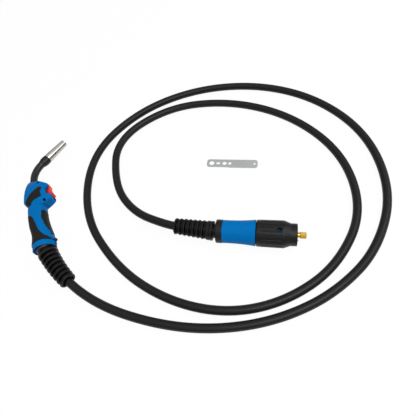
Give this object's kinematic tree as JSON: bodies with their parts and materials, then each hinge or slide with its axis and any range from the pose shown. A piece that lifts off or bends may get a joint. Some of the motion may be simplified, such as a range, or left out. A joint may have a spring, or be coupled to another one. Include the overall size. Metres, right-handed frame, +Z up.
{
  "type": "arc welding torch with lead",
  "caption": "Hand-held wire-feed welding torch: swan neck, gas nozzle, trigger handle on a ball joint, long coiled lead and a machine plug with hand nut, with a flat tip spanner.",
  "frame": {"origin": "on the floor, under the middle of the torch and the spanner, measured without the lead and plug", "axes": "+X runs from the torch towards the spanner, +Y from the lead's boot towards the nozzle, +Z up"},
  "size_m": [0.6824, 0.5411, 0.0471],
  "materials": {
    "blue_plastic": "moulded, slight texture",
    "soft_grip": "matt soft-touch moulding",
    "black_rubber": "matt moulded rubber",
    "black_plastic": "moulded, slight texture",
    "red_plastic": "moulded, smooth",
    "steel": "plain",
    "nozzle_chrome": "satin",
    "copper": "turned copper alloy",
    "brass": "turned"
  },
  "bodies": {
    "lead": {"torch_cable": "black_rubber", "ball_sleeve": "black_plastic", "torch_boot": "black_rubber", "plug_boot": "black_rubber", "crimp_ferrule": "brass", "plug_collar": "black_plastic", "plug_sleeve": "blue_plastic", "plug_core": "brass", "plug_face": "black_plastic", "pin_barrels": "brass", "nose_tube": "brass", "nose_ring": "black_rubber", "liner_nut": "brass", "wire_liner": "steel", "tip_spanner": "steel"},
    "handle": {"handle_shell_upper": "blue_plastic", "handle_shell_lower": "blue_plastic", "thumb_pad_upper": "soft_grip", "thumb_pad_lower": "soft_grip", "finger_grip_upper": "soft_grip", "finger_grip_lower": "soft_grip", "palm_grip_upper": "soft_grip", "palm_grip_lower": "soft_grip", "socket_ring": "blue_plastic", "handle_screws": "steel", "trigger_pin": "steel", "microswitch": "black_plastic", "switch_tabs": "brass", "swan_neck": "brass", "neck_jacket": "black_rubber", "neck_insulator": "black_plastic", "tip_holder": "brass", "contact_tip": "copper", "neck_fitting": "brass", "inner_hose": "black_rubber"},
    "trigger": {"trigger": "red_plastic"},
    "plunger": {"switch_plunger": "red_plastic"},
    "nozzle": {"gas_nozzle": "nozzle_chrome"},
    "nut": {"plug_nut": "black_plastic"},
    "pin_1": {"contact_pin_1": "brass"},
    "pin_2": {"contact_pin_2": "brass"}
  },
  "joints": [
    {"name": "handle_swivel", "type": "hinge", "parent": "lead", "child": "handle", "pos_m": [-0.162, -0.086, 0.0206], "axis": [0, 0, 1], "range_deg": [-1, 27]},
    {"name": "trigger_press", "type": "hinge", "parent": "handle", "child": "trigger", "pos_m": [-0.189, 0.0403, 0.0206], "axis": [0, 0, -1], "range_deg": [0, 5], "stiffness_Nm_per_rad": 2, "springref_deg": -2.86},
    {"name": "plunger_slide", "type": "slide", "parent": "handle", "child": "plunger", "axis": [-1, 0, 0], "range_m": [0, 0.00165]},
    {"name": "nozzle_pull", "type": "slide", "parent": "handle", "child": "nozzle", "axis": [0.5736, 0.8192, 0], "range_m": [0, 0.045]},
    {"name": "nut_spin", "type": "hinge", "parent": "lead", "child": "nut", "pos_m": [0.24576, -0.0895, 0.0231], "axis": [0.9925, -0.1219, 0], "continuous": true},
    {"name": "pin_press_1", "type": "slide", "parent": "lead", "child": "pin_1", "axis": [-0.9925, 0.1219, 0], "range_m": [0, 0.003], "stiffness_N_per_m": 400, "springref_m": -0.002},
    {"name": "pin_press_2", "type": "slide", "parent": "lead", "child": "pin_2", "axis": [-0.9925, 0.1219, 0], "range_m": [0, 0.003], "stiffness_N_per_m": 400, "springref_m": -0.002}
  ],
  "couplings": [
    {"joint": "plunger_slide", "follows": "trigger_press", "m_per_rad": 0.018}
  ]
}
